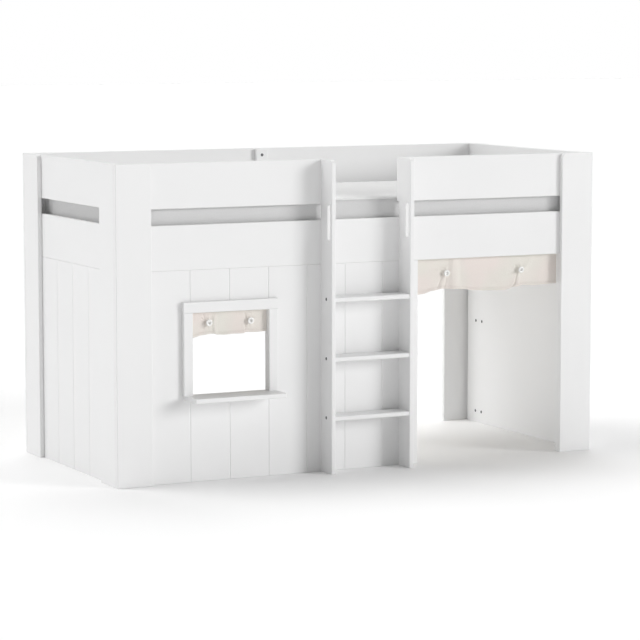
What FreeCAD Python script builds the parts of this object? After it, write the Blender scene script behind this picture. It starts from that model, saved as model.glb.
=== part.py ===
import FreeCAD, Part
import math
import os
from FreeCAD import Vector

# High sleeper bed: four L-shaped corner posts, guard boards and rails, a grooved front panel with a
# window, a doorway beside the ladder, a slatted base with its mattress and two short valances.
# While the pieces are made, X runs from the left end, Y from the front of the posts, Z from the floor.
# All lengths are in millimetres.

# Overall sizes: the mattress and the room round it set the bed's length and width
mattress_length = 1990.0
mattress_width = 890.0
mattress_end_clearance = 14.0
mattress_front_clearance = 2.0
mattress_back_clearance = 20.0
bed_height = 1220.0
board = 18.0
edge_bevel = 2.0

# Corner posts, each made of a face leg and a side leg
face_leg_width = 145.0
side_leg_width = 165.0
leg_corner_radius = 22.0

# Guard boards above, rails below, with an open gap between them
guard_height = 173.0
guard_gap = 62.0
rail_height = 173.0

# Grooved panels
plank_pitch = 165.0
groove_width = 6.0
groove_depth = 2.2
first_front_groove = 308.0
panel_past_ladder = 67.0

# Ladder
ladder_left = 864.0
ladder_clear_width = 325.0
stile_thickness = 18.0
stile_reach = 93.0
stile_corner_radius = 20.0
tread_thickness = 18.0
tread_depth = 86.0
tread_setback = 3.0
tread_round = 5.0
first_step = 226.0
tread_count = 3
housing_depth = 5.0
hand_slot_length = 142.0
hand_slot_width = 23.0
hand_slot_setback = 26.0
hand_slot_top_drop = 171.0

# Window in the front panel
window_left = 312.5
window_width = 320.0
window_height = 316.0
window_drop = 162.0
frame_thickness = 18.0
jamb_width = 38.0
head_height = 42.0
sill_thickness = 18.0
sill_overhang = 30.0
sill_reach = 111.0
sill_round = 4.0

# Slatted base and mattress
slat_count = 13
slat_width = 88.0
slat_thickness = 18.0
slat_bevel = 2.0
slat_end_clearance = 2.0
first_slat_inset = 12.0
slat_rail_depth = 26.0
slat_rail_height = 40.0
mattress_thickness = 148.0
mattress_drop = 157.0
mattress_corner_radius = 60.0
mattress_edge_bevel = 14.0

# Batten that joins the back guard to the back rail
batten_width = 54.0
batten_top_drop = 5.0
batten_clearance = 2.0

# Valances, their hook tapes and their round knobs
valance_thickness = 8.0
tape_thickness = 2.0
window_valance_height = 88.0
window_valance_side_clearance = 1.0
door_valance_overlap = 34.0
door_valance_drop = 132.0
door_valance_hold = 30.0
door_tape_height = 20.0
knob_radius = 13.0
knob_height = 12.0
knob_rim_bevel = 3.0
knob_hollow_radius = 5.0
knob_hollow_depth = 3.0
window_knob_drop = 41.0
window_knob_share = 0.55
door_knob_drop = 59.0
door_knob_share = 0.5

# Fasteners, drawn with few sides because there are many of them
fastener_sides = 6
nut_sides = 8
bolt_head_radius = 6.5
bolt_head_height = 4.0
bolt_radius = 3.0
bolt_bite = 12.0
hole_clearance = 0.3
bolt_edge_distance = 28.0
post_bolt_inset = 106.0
post_bolt_column_spacing = 51.0
low_panel_bolt_height = 50.0
high_panel_bolt_drop = 364.0
tread_bolt_length = 56.0
tread_bolt_setback = 47.0
barrel_nut_radius = 5.0
barrel_nut_length = 14.0
barrel_nut_inset = 30.0
ladder_screw_length = 50.0
slat_screw_head_radius = 4.0
slat_screw_radius = 1.8
slat_screw_head_height = 2.5
slat_screw_length = 34.0
overrun = 2.0

# Places that follow from those sizes
bed_length = mattress_length + 2 * (mattress_end_clearance + 2 * board)
bed_width = mattress_width + mattress_front_clearance + mattress_back_clearance + 4 * board
face_of_boards = board
back_of_boards = 2 * board
inner_back = bed_width - 2 * board
guard_bottom = bed_height - guard_height
rail_top = guard_bottom - guard_gap
rail_bottom = rail_top - rail_height
mattress_top = bed_height - mattress_drop
mattress_bottom = mattress_top - mattress_thickness
slat_top = mattress_bottom
slat_bottom = slat_top - slat_thickness
ladder_right = ladder_left + 2 * stile_thickness + ladder_clear_width
stile_front = face_of_boards - stile_reach
tread_spacing = (slat_top - 2 * first_step) / (tread_count - 1)
front_panel_end = ladder_right + panel_past_ladder
window_right = window_left + window_width
window_top = rail_bottom - window_drop
window_bottom = window_top - window_height
door_right = bed_length - face_leg_width
sill_front = face_of_boards - sill_reach

# The frame's origin is on the floor, in the middle of the whole object's footprint
front_most = min(sill_front, stile_front, 0)
origin = Vector(bed_length / 2, (bed_width + front_most) / 2, 0)

pieces = {}
cutters = {}

ALONG_X = Vector(1, 0, 0)
ALONG_Y = Vector(0, 1, 0)
ALONG_Z = Vector(0, 0, 1)


def block(x, y, z):
    """A box from three (low, high) pairs."""
    size = [high - low for low, high in (x, y, z)]
    return Part.makeBox(*size, Vector(x[0], y[0], z[0]))


def straight_edges(shape, direction):
    """The straight edges of a shape that run along a direction."""
    found = []
    for edge in shape.Edges:
        if not isinstance(edge.Curve, Part.Line):
            continue
        along = edge.Vertexes[-1].Point - edge.Vertexes[0].Point
        if along.cross(direction).Length < 1e-6 * along.Length:
            found.append(edge)
    return found


def board_piece(x, y, z, length_axis):
    """A planed board: a box with its four long edges bevelled."""
    shape = block(x, y, z)
    return shape.makeChamfer(edge_bevel, straight_edges(shape, length_axis))


def prism(points, travel):
    """A closed outline of points, pushed along a vector."""
    wire = Part.makePolygon(points + points[:1])
    return Part.Face(wire).extrude(travel)


def grooved_profile(start, end, grooves):
    """Plan outline of a grooved panel as (along, inward) pairs, the outer face at inward 0."""
    outline = [(start, board), (start, 0)]
    for centre in grooves:
        outline.append((centre - groove_width / 2, 0))
        outline.append((centre, groove_depth))
        outline.append((centre + groove_width / 2, 0))
    outline.append((end, 0))
    outline.append((end, board))
    return outline


def groove_places(first, start, end):
    """Every groove at the plank pitch on both sides of a first one, inside a panel."""
    places = []
    step = math.ceil((start + groove_width - first) / plank_pitch)
    while first + step * plank_pitch < end - groove_width:
        places.append(first + step * plank_pitch)
        step += 1
    return places


def ring_points(radius, height, sides):
    """The corners of a closed ring of equal sides round the Z axis, at a height."""
    points = []
    for number in range(sides + 1):
        angle = 2 * math.pi * (number % sides) / sides
        points.append(Vector(radius * math.cos(angle), radius * math.sin(angle), height))
    return points


def many_sided_pin(radius, length, sides):
    """A short pin along Z from the origin."""
    return Part.Face(Part.makePolygon(ring_points(radius, 0, sides))).extrude(Vector(0, 0, length))


def stood_at(shape, start, direction):
    """A shape made along Z, moved to start and turned to a direction."""
    shape.Placement = FreeCAD.Placement(start, FreeCAD.Rotation(ALONG_Z, direction))
    return shape


def countersunk(head_radius, head_height, radius, length, start, direction, grow=0):
    """A countersunk fastener with its head flush at start and its shank along direction."""
    rings = (
        ring_points(head_radius + grow, 0, fastener_sides),
        ring_points(radius + grow, head_height, fastener_sides),
        ring_points(radius + grow, length + grow, fastener_sides),
    )
    faces = [Part.Face(Part.makePolygon(rings[0])), Part.Face(Part.makePolygon(rings[-1]))]
    for low, high in zip(rings, rings[1:]):
        for number in range(fastener_sides):
            corners = [low[number], low[number + 1], high[number + 1], high[number], low[number]]
            faces.append(Part.Face(Part.makePolygon(corners)))
    return stood_at(Part.makeSolid(Part.makeShell(faces)), start, direction)


def cut_from(name, tool):
    """Notes a cutter that the named piece loses before it is written."""
    cutters.setdefault(name, []).append(tool)


def add_bolt(group, start, direction, holders, length):
    """Adds one connecting bolt to a group, and its hole to each piece that it passes."""
    sizes = (bolt_head_radius, bolt_head_height, bolt_radius, length)
    group.append(countersunk(*sizes, start, direction))
    for name in holders:
        cut_from(name, countersunk(*sizes, start, direction, hole_clearance))


def mirrored_in_length(shape):
    return shape.mirror(Vector(bed_length / 2, 0, 0), ALONG_X)


def mirrored_in_width(shape):
    return shape.mirror(Vector(0, bed_width / 2, 0), ALONG_Y)


# Corner posts
def leg(x, y, top_corner_axis, keeps_corner):
    """One upright leg, its free top corner rounded and its long edges eased."""
    shape = block(x, y, (0, bed_height))
    corner = []
    for edge in straight_edges(shape, top_corner_axis):
        middle = edge.CenterOfMass
        if middle.z > bed_height / 2 and keeps_corner(middle):
            corner.append(edge)
    shape = shape.makeFillet(leg_corner_radius, corner)
    return shape.makeChamfer(edge_bevel, straight_edges(shape, ALONG_Z))


def make_posts():
    face_leg = leg((0, face_leg_width), (0, board), ALONG_Y, lambda middle: middle.x > face_leg_width / 2)
    side_leg = leg((0, board), (board, side_leg_width), ALONG_X, lambda middle: middle.y > side_leg_width / 2)
    for kind, shape in (("face", face_leg), ("side", side_leg)):
        pieces["post_front_left_" + kind] = shape
        pieces["post_front_right_" + kind] = mirrored_in_length(shape)
        pieces["post_back_left_" + kind] = mirrored_in_width(shape)
        pieces["post_back_right_" + kind] = mirrored_in_length(mirrored_in_width(shape))


# Guard boards and rails
def make_front_and_back_boards():
    full = (board, bed_length - board)
    front = (face_of_boards, back_of_boards)
    back = (inner_back, inner_back + board)
    guard = (guard_bottom, bed_height)
    rail = (rail_bottom, rail_top)
    left_end = ladder_left + stile_thickness
    right_start = ladder_right - stile_thickness
    pieces["guard_front_left"] = board_piece((full[0], left_end), front, guard, ALONG_X)
    pieces["guard_front_right"] = board_piece((right_start, full[1]), front, guard, ALONG_X)
    pieces["guard_back"] = board_piece(full, back, guard, ALONG_X)
    pieces["rail_front"] = board_piece(full, front, rail, ALONG_X)
    pieces["rail_back"] = board_piece(full, back, rail, ALONG_X)


def make_end_boards():
    across = (back_of_boards, inner_back)
    left = (board, 2 * board)
    for level, height in (("guard", (guard_bottom, bed_height)), ("rail", (rail_bottom, rail_top))):
        shape = board_piece(left, across, height, ALONG_Y)
        pieces[level + "_end_left"] = shape
        pieces[level + "_end_right"] = mirrored_in_length(shape)


# Grooved panels
def make_front_panel():
    start = board
    grooves = groove_places(first_front_groove, face_leg_width, front_panel_end)
    outline = grooved_profile(start, front_panel_end, grooves)
    points = [Vector(along, face_of_boards + inward, 0) for along, inward in outline]
    panel = prism(points, Vector(0, 0, rail_bottom))
    hole = block(
        (window_left, window_right),
        (face_of_boards - overrun, back_of_boards + overrun),
        (window_bottom, window_top),
    )
    pieces["panel_front"] = panel.cut(hole)


def make_end_panels():
    middle = bed_width / 2
    grooves = groove_places(middle, side_leg_width, bed_width - side_leg_width)
    outline = grooved_profile(back_of_boards, inner_back, grooves)
    points = [Vector(board + inward, along, 0) for along, inward in outline]
    panel = prism(points, Vector(0, 0, rail_bottom))
    pieces["panel_end_left"] = panel
    pieces["panel_end_right"] = mirrored_in_length(panel)


def make_doorway_strip():
    """The upright that doubles the right post beside the doorway."""
    x = (door_right, bed_length - board)
    pieces["doorway_strip"] = board_piece(x, (face_of_boards, back_of_boards), (0, rail_bottom), ALONG_Z)


# Window frame
def make_window_frame():
    depth = (face_of_boards - frame_thickness, face_of_boards)
    upright = (window_bottom, window_top)
    left = (window_left - jamb_width, window_left)
    right = (window_right, window_right + jamb_width)
    head_height_range = (window_top, window_top + head_height)
    pieces["window_jamb_left"] = board_piece(left, depth, upright, ALONG_Z)
    pieces["window_jamb_right"] = board_piece(right, depth, upright, ALONG_Z)
    pieces["window_head"] = board_piece((left[0], right[1]), depth, head_height_range, ALONG_X)
    sill = block(
        (window_left - sill_overhang, window_right + sill_overhang),
        (sill_front, face_of_boards),
        (window_bottom - sill_thickness, window_bottom),
    )
    front_edges = []
    for edge in sill.Edges:
        low_y = min(vertex.Point.y for vertex in edge.Vertexes)
        high_y = max(vertex.Point.y for vertex in edge.Vertexes)
        if high_y - low_y < sill_round and low_y < sill_front + sill_round:
            front_edges.append(edge)
    pieces["window_sill"] = sill.makeFillet(sill_round, front_edges)


# Ladder
def tread_levels():
    """Underside and top of each tread; the step up to the slats is as high as the first one."""
    levels = []
    for number in range(tread_count):
        top = first_step + number * tread_spacing
        levels.append((top - tread_thickness, top))
    return levels


def hand_slot(x):
    """The rounded slot that a hand grips, as a cutter through a stile."""
    radius = hand_slot_width / 2
    middle = stile_front + hand_slot_setback
    top = bed_height - hand_slot_top_drop
    bottom = top - hand_slot_length
    straight = block(x, (middle - radius, middle + radius), (bottom + radius, top - radius))
    slot = straight
    for centre in (bottom + radius, top - radius):
        start = Vector(x[0], middle, centre)
        slot = slot.fuse(Part.makeCylinder(radius, x[1] - x[0], start, ALONG_X))
    return slot.removeSplitter()


def make_stile(name, x, housing_x):
    shape = block(x, (stile_front, face_of_boards), (0, bed_height))
    corner = []
    for edge in straight_edges(shape, ALONG_X):
        middle = edge.CenterOfMass
        if middle.z > bed_height / 2 and middle.y < 0:
            corner.append(edge)
    shape = shape.makeFillet(stile_corner_radius, corner)
    front = [edge for edge in straight_edges(shape, ALONG_Z) if edge.CenterOfMass.y < 0]
    shape = shape.makeChamfer(edge_bevel, front)
    shape = shape.cut(hand_slot((x[0] - overrun, x[1] + overrun)))
    for low, high in tread_levels():
        tread_y = (stile_front + tread_setback, stile_front + tread_setback + tread_depth)
        shape = shape.cut(block(housing_x, tread_y, (low, high)))
    pieces[name] = shape


def make_ladder():
    left = (ladder_left, ladder_left + stile_thickness)
    right = (ladder_right - stile_thickness, ladder_right)
    make_stile("ladder_stile_left", left, (left[1] - housing_depth, left[1] + overrun))
    make_stile("ladder_stile_right", right, (right[0] - overrun, right[0] + housing_depth))
    start = stile_front + tread_setback
    names = ("lower", "middle", "upper")
    for name, (low, high) in zip(names, tread_levels()):
        x = (left[1] - housing_depth, right[0] + housing_depth)
        tread = block(x, (start, start + tread_depth), (low, high))
        nosing = []
        for edge in straight_edges(tread, ALONG_X):
            middle = edge.CenterOfMass
            if middle.y < start + tread_depth / 2:
                nosing.append(edge)
        rounded = tread.makeFillet(tread_round, nosing)
        ends = block(
            (left[1], right[0]),
            (start - overrun, start + tread_depth + overrun),
            (low - overrun, high + overrun),
        )
        # the housed ends stay square, only the stretch between the stiles is rounded
        pieces["ladder_tread_" + name] = rounded.common(ends).fuse(tread.cut(ends)).removeSplitter()


# Slatted base and mattress
def make_slat_rails():
    x = (2 * board, bed_length - 2 * board)
    z = (slat_bottom - slat_rail_height, slat_bottom)
    pieces["slat_rail_front"] = block(x, (back_of_boards, back_of_boards + slat_rail_depth), z)
    pieces["slat_rail_back"] = block(x, (inner_back - slat_rail_depth, inner_back), z)


def slat_centres():
    first = 2 * board + first_slat_inset + slat_width / 2
    last = bed_length - first
    pitch = (last - first) / (slat_count - 1)
    return [first + number * pitch for number in range(slat_count)]


def make_slats():
    y = (back_of_boards + slat_end_clearance, inner_back - slat_end_clearance)
    for number, centre in enumerate(slat_centres(), 1):
        x = (centre - slat_width / 2, centre + slat_width / 2)
        slat = block(x, y, (slat_bottom, slat_top))
        pieces["slat_%02d" % number] = slat.makeChamfer(slat_bevel, straight_edges(slat, ALONG_Y))


def make_mattress():
    middle = bed_length / 2
    front = back_of_boards + mattress_front_clearance
    x = (middle - mattress_length / 2, middle + mattress_length / 2)
    shape = block(x, (front, front + mattress_width), (mattress_bottom, mattress_top))
    shape = shape.makeFillet(mattress_corner_radius, straight_edges(shape, ALONG_Z))
    rims = []
    for edge in shape.Edges:
        flat = edge.BoundBox.ZLength < mattress_edge_bevel
        if flat and edge.CenterOfMass.z > mattress_top - mattress_edge_bevel:
            rims.append(edge)
    pieces["mattress"] = shape.makeChamfer(mattress_edge_bevel, rims)


# Batten at the middle of the back
def make_back_batten():
    middle = bed_length / 2
    x = (middle - batten_width / 2, middle + batten_width / 2)
    z = (slat_top + batten_clearance, bed_height - batten_top_drop)
    pieces["back_batten"] = board_piece(x, (inner_back - board, inner_back), z, ALONG_Z)


# Valances
def knob(start):
    """A turned knob with a hollow in its face, its back at start and its face towards the front."""
    profile = [
        Vector(0, 0, 0),
        Vector(knob_radius, 0, 0),
        Vector(knob_radius, 0, knob_height - knob_rim_bevel),
        Vector(knob_radius - knob_rim_bevel, 0, knob_height),
        Vector(knob_hollow_radius, 0, knob_height),
        Vector(knob_hollow_radius, 0, knob_height - knob_hollow_depth),
        Vector(0, 0, knob_height - knob_hollow_depth),
    ]
    face = Part.Face(Part.makePolygon(profile + profile[:1]))
    return stood_at(face.revolve(Vector(0, 0, 0), ALONG_Z, 360), start, -ALONG_Y)


def pair_of_knobs(x, share, fabric_face, height):
    """Two knobs, their distance a share of the valance's width."""
    middle = (x[0] + x[1]) / 2
    reach = share * (x[1] - x[0]) / 2
    places = (middle - reach, middle + reach)
    return Part.makeCompound([knob(Vector(place, fabric_face, height)) for place in places])


def make_window_valance():
    x = (window_left + window_valance_side_clearance, window_right - window_valance_side_clearance)
    fabric_face = face_of_boards + tape_thickness
    y = (fabric_face, fabric_face + valance_thickness)
    tape_z = (window_top - tape_thickness, window_top)
    pieces["window_valance_tape"] = block(x, y, tape_z)
    pieces["window_valance"] = block(x, y, (tape_z[0] - window_valance_height, tape_z[0]))
    height = window_top - window_knob_drop
    pieces["window_valance_knobs"] = pair_of_knobs(x, window_knob_share, fabric_face, height)


def make_door_valance():
    x = (front_panel_end - door_valance_overlap, door_right)
    fabric_face = back_of_boards + tape_thickness
    top = rail_bottom + door_valance_hold
    pieces["door_valance_tape"] = block(x, (back_of_boards, fabric_face), (top - door_tape_height, top))
    y = (fabric_face, fabric_face + valance_thickness)
    pieces["door_valance"] = block(x, y, (rail_bottom - door_valance_drop, top))
    height = rail_bottom - door_knob_drop
    pieces["door_valance_knobs"] = pair_of_knobs(x, door_knob_share, fabric_face, height)


# Fasteners
def bolt_grid(columns, rows):
    """Every pair of a column and a row."""
    return [(column, row) for column in columns for row in rows]


def make_post_bolts():
    """Bolts from inside the boards into the legs; a guard's are low down, behind the mattress."""
    length = board + bolt_bite
    end_group = []
    long_group = []
    outer_columns = (post_bolt_inset - post_bolt_column_spacing, post_bolt_inset)
    inner_columns = (post_bolt_inset, post_bolt_inset + post_bolt_column_spacing)
    guard_rows = (guard_bottom + bolt_edge_distance,)
    rail_rows = (rail_bottom + bolt_edge_distance, rail_top - bolt_edge_distance)
    panel_rows = (low_panel_bolt_height, rail_bottom - high_panel_bolt_drop)
    end_boards = (
        ("guard_end_", bolt_grid(inner_columns, guard_rows)),
        ("rail_end_", bolt_grid(inner_columns[:1], rail_rows)),
        ("panel_end_", bolt_grid(inner_columns, panel_rows)),
    )
    long_boards = {
        "front": (("guard_front_", guard_rows, outer_columns), ("rail_front", rail_rows, inner_columns[:1])),
        "back": (("guard_back", guard_rows, outer_columns), ("rail_back", rail_rows, inner_columns[:1])),
    }
    for end, inner_x, outward in (("left", 2 * board, -ALONG_X), ("right", bed_length - 2 * board, ALONG_X)):
        for side in ("front", "back"):
            side_leg = "post_%s_%s_side" % (side, end)
            for kind, grid in end_boards:
                for column, row in grid:
                    start = Vector(inner_x, column if side == "front" else bed_width - column, row)
                    add_bolt(end_group, start, outward, (kind + end, side_leg), length)
            face_leg = "post_%s_%s_face" % (side, end)
            inner_y, outward_y = (back_of_boards, -ALONG_Y) if side == "front" else (inner_back, ALONG_Y)
            for kind, rows, columns in long_boards[side]:
                node = kind + end if kind.endswith("_") else kind
                for column, row in bolt_grid(columns, rows):
                    start = Vector(column if end == "left" else bed_length - column, inner_y, row)
                    add_bolt(long_group, start, outward_y, (node, face_leg), length)
    for node, end, x in (
        ("panel_front", "left", post_bolt_inset),
        ("doorway_strip", "right", bed_length - post_bolt_inset),
    ):
        for row in panel_rows:
            start = Vector(x, back_of_boards, row)
            add_bolt(long_group, start, -ALONG_Y, (node, "post_front_%s_face" % end), length)
    pieces["end_board_bolts"] = Part.makeCompound(end_group)
    pieces["long_board_bolts"] = Part.makeCompound(long_group)


def make_tread_fasteners():
    """A bolt through each stile into each tread's end, and the barrel nut that it pulls on."""
    bolts = []
    nuts = []
    y = stile_front + tread_bolt_setback
    for side, outer_x, inward in (("left", ladder_left, ALONG_X), ("right", ladder_right, -ALONG_X)):
        for name, (low, high) in zip(("lower", "middle", "upper"), tread_levels()):
            tread = "ladder_tread_" + name
            start = Vector(outer_x, y, (low + high) / 2)
            add_bolt(bolts, start, inward, ("ladder_stile_" + side, tread), tread_bolt_length)
            foot = start + inward * (stile_thickness + barrel_nut_inset)
            foot.z = low
            nut = stood_at(many_sided_pin(barrel_nut_radius, barrel_nut_length, nut_sides), foot, ALONG_Z)
            nuts.append(nut.cut(bolts[-1]))
            hole = many_sided_pin(barrel_nut_radius + hole_clearance, barrel_nut_length, nut_sides)
            cut_from(tread, stood_at(hole, foot, ALONG_Z))
    pieces["tread_bolts"] = Part.makeCompound(bolts)
    pieces["tread_barrel_nuts"] = Part.makeCompound(nuts)


def make_ladder_screws():
    """Long screws from inside the bed through guard, rail and panel into the stiles' back edges."""
    group = []
    guard_middle = (guard_bottom + bed_height) / 2
    for side, x in (
        ("left", ladder_left + stile_thickness / 2),
        ("right", ladder_right - stile_thickness / 2),
    ):
        stile = "ladder_stile_" + side
        rows = (
            ("guard_front_" + side, guard_middle),
            ("rail_front", rail_top - bolt_edge_distance),
            ("panel_front", rail_bottom - high_panel_bolt_drop),
            ("panel_front", low_panel_bolt_height),
        )
        for node, row in rows:
            add_bolt(group, Vector(x, back_of_boards, row), -ALONG_Y, (node, stile), ladder_screw_length)
    pieces["ladder_screws"] = Part.makeCompound(group)


def make_batten_bolts():
    group = []
    x = bed_length / 2
    y = inner_back - board
    rows = (
        ("guard_back", bed_height - bolt_edge_distance),
        ("guard_back", guard_bottom + bolt_edge_distance),
        ("rail_back", rail_top - bolt_edge_distance),
    )
    for node, row in rows:
        add_bolt(group, Vector(x, y, row), ALONG_Y, ("back_batten", node), board + bolt_bite)
    pieces["batten_bolts"] = Part.makeCompound(group)


def make_slat_screws():
    """Screws through the ends of the first and the last slat, the ones that are fixed."""
    group = []
    sizes = (slat_screw_head_radius, slat_screw_head_height, slat_screw_radius, slat_screw_length)
    rails = (
        ("slat_rail_front", back_of_boards + slat_rail_depth / 2),
        ("slat_rail_back", inner_back - slat_rail_depth / 2),
    )
    centres = slat_centres()
    for number in (1, slat_count):
        for rail, y in rails:
            start = Vector(centres[number - 1], y, slat_top)
            group.append(countersunk(*sizes, start, -ALONG_Z))
            for name in ("slat_%02d" % number, rail):
                cut_from(name, countersunk(*sizes, start, -ALONG_Z, hole_clearance))
    pieces["slat_screws"] = Part.makeCompound(group)


def write_pieces():
    os.makedirs("parts", exist_ok=True)
    for name, shape in pieces.items():
        if name in cutters:
            shape = shape.cut(Part.makeCompound(cutters[name]))
        shape = shape.copy()
        shape.translate(-origin)
        shape.exportStep("parts/" + name + ".step")
        print(name, "solids", len(shape.Solids), "valid", shape.isValid())


make_posts()
make_front_and_back_boards()
make_end_boards()
make_front_panel()
make_end_panels()
make_doorway_strip()
make_window_frame()
make_ladder()
make_slat_rails()
make_slats()
make_mattress()
make_back_batten()
make_window_valance()
make_door_valance()
make_post_bolts()
make_tread_fasteners()
make_ladder_screws()
make_batten_bolts()
make_slat_screws()
write_pieces()
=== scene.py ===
import bmesh
import bpy
import math
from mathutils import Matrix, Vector


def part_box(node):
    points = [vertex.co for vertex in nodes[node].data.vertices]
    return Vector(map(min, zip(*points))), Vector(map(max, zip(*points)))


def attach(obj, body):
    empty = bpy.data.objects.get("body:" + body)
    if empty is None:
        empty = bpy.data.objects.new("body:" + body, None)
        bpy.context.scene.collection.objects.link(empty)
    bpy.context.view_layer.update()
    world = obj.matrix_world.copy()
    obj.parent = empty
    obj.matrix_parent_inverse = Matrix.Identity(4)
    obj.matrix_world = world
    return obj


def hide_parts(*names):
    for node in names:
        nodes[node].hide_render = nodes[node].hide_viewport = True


bl_info = {
    "name": "Raised Bed Looks",
    "version": (1, 0, 0),
    "blender": (4, 5, 0),
    "location": "3D View > Sidebar > Raised Bed",
    "description": "Gives a raised bed its paint, pine, mattress, valances, bolts and studio stage",
    "category": "Object",
}

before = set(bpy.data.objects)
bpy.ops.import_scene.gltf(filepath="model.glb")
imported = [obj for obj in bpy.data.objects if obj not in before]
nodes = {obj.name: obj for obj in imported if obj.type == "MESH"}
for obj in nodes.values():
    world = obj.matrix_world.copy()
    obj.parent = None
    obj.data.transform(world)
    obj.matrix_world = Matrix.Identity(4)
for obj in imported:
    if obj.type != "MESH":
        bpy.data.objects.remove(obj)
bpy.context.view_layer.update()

BODY = "root"
ALONG_Y = Vector((0, 1, 0))
ALONG_Z = Vector((0, 0, 1))

# Points closer than this are one point, and points within this height of each other lie level
SAME_PLACE = 1e-6
SAME_LEVEL = 1e-4

# Blender's wave texture turns by this many radians per unit at a scale of 1
WAVE_RATE = 20

# The scale of brush marks along a board and across it
BRUSH_ALONG, BRUSH_ACROSS = 7.0, 170.0

# Edges of a turned bolt stay crisp from this turn between faces, and its socket has this many sides
CRISP_ANGLE = math.radians(35)
SOCKET_SIDES = 6

# A knob's outline as shares of its radius and height: its side, half the width of its rim and the
# rim's rise, and its hollow
KNOB_SIDE = [(0.62, 0), (0.70, 0.18), (0.86, 0.42), (0.98, 0.62)]
KNOB_RIM, KNOB_RIM_RISE, KNOB_RIM_STEPS = 0.28, 0.16, 8
KNOB_HOLLOW = [(0.42, 0.66), (0.40, 0.38), (0.30, 0.31), (0.12, 0.30)]

# The valances' cloth: the gap behind its hanging line, and the curl of its side edges and that curl's width
HANGING_GAP = 0.0045
EDGE_CURL, EDGE_CURL_WIDTH = 0.0012, 0.006

# A pleat's short side as a share of its long one, and the share of the cloth's height in which it opens
PLEAT_SHORT_SIDE = 0.6
PLEAT_OPENING = 1 / 3

# What a knob does to the cloth, with reaches as shares of its radius: it draws the cloth forward,
# puckers it in a ring of rays, and gathers it from both sides
KNOB_PULL, KNOB_PULL_REACH = 0.0030, 1.5
PUCKER_RISE, PUCKER_RAYS, PUCKER_TURN, PUCKER_RING, PUCKER_WIDTH = 0.0010, 5, 0.7, 1.35, 0.7
GATHER, GATHER_REACH = 0.35, 1.8

# The cloth's faint ripples: the rise, then each one's share, radians per metre, start and lean
RIPPLE_RISE = 0.0005
RIPPLES = [(1.0, 61, 1.3, 0.0), (0.6, 113, 0.0, 2.0)]

# The hem's rows of quads, and in thicknesses of the cloth its own thickness, how far forward its edges
# stand and how much further its middle does
HEM_ROWS = 4
HEM_THICKNESS, HEM_LIFT, HEM_CROWN = 0.8, 0.55, 0.45

# The hem's stitches: their sides, their radius and spacing as shares of their length, their height as
# a share of the hem's, how far forward they lie in thicknesses of the cloth, and as shares of their
# radius and length their tips' radius and their tapered ends' length
STITCH_SIDES = 6
STITCH_RADIUS, STITCH_PITCH, STITCH_HEIGHT, STITCH_LIFT = 0.13, 1.45, 0.86, 2.0
STITCH_TIP, STITCH_END = 0.4, 0.2

# The mattress's round corners and rims, and as shares of a rim, how far from the top and from the base
# its piping lies and how far its seams hold the cover
MATTRESS_CORNER = 0.06
MATTRESS_RIM = 0.018
TOP_PIPING, BASE_PIPING, SEAM_HOLD = 0.5, 0.6, 1.5
PIPING_SIDES = 10
CORNER_STEPS = 10

# The filling's pressure, the steps of its simulation and the passes that even it out
FILLING_PRESSURE = 4.0
FILLING_QUALITY = 4
FILLING_FRAMES = 20
EVENING_PASSES = 40

# The suns by their settings' names: turn from the front towards the right, rise and softness, in degrees
SUNS = [("key", 45, 15, 24), ("back", 150, 55, 40), ("top_left", 240, 55, 40), ("low_left", 240, 8, 40)]
SUN_DISTANCE = 6

# The lamp inside the den: its size, its place from the middle of the front slat rail's underside,
# its turn and its slightly cool colour, which makes up for the pine's warmth
DEN_LAMP_SIZE = (0.7, 0.4)
DEN_LAMP_SHIFT = (-0.25, 0.3165, -0.3)
DEN_LAMP_TURN = (0, math.radians(-80), math.radians(32))
DEN_LAMP_COLOUR = (0.95, 0.98, 1.0)

# The floor reaches this far from the bed's middle and lies this far under its feet
FLOOR_REACH = 60.0
FLOOR_DROP = 0.0005


# What a user would change
class PaintSettings(bpy.types.PropertyGroup):
    colour: bpy.props.FloatVectorProperty(
        name="Paint", description="Colour of the painted boards", subtype="COLOR", default=(0.88, 0.88, 0.88)
    )
    roughness: bpy.props.FloatProperty(
        name="Roughness",
        description="Satin finish of the paint",
        default=0.42,
        min=0,
        max=1,
        subtype="FACTOR",
    )
    grain_depth: bpy.props.FloatProperty(
        name="Brush marks", description="Depth of the brush marks", default=0.00005, min=0, unit="LENGTH"
    )


class PineSettings(bpy.types.PropertyGroup):
    light: bpy.props.FloatVectorProperty(
        name="Early wood",
        description="The pale rings of the pine",
        subtype="COLOR",
        default=(0.79, 0.72, 0.61),
    )
    dark: bpy.props.FloatVectorProperty(
        name="Late wood",
        description="The dark rings of the pine",
        subtype="COLOR",
        default=(0.69, 0.58, 0.44),
    )
    ring_width: bpy.props.FloatProperty(
        name="Ring width", description="Distance between rings", default=0.0377, min=0.001, unit="LENGTH"
    )


class SteelSettings(bpy.types.PropertyGroup):
    colour: bpy.props.FloatVectorProperty(
        name="Steel", description="Colour of the plated bolts", subtype="COLOR", default=(0.16, 0.16, 0.165)
    )
    head_lip: bpy.props.FloatProperty(
        name="Head lip", description="How far a head covers its hole", default=0.0006, min=0, unit="LENGTH"
    )
    head_rise: bpy.props.FloatProperty(
        name="Head rise", description="How far a head stands proud", default=0.0005, min=0, unit="LENGTH"
    )
    sides: bpy.props.IntProperty(name="Sides", description="Sides of each bolt", default=24, min=12)


class KnobSettings(bpy.types.PropertyGroup):
    colour: bpy.props.FloatVectorProperty(
        name="Knob", description="Colour of the turned knobs", subtype="COLOR", default=(0.93, 0.925, 0.91)
    )
    sides: bpy.props.IntProperty(name="Sides", description="Sides of each knob", default=40, min=12)


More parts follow.
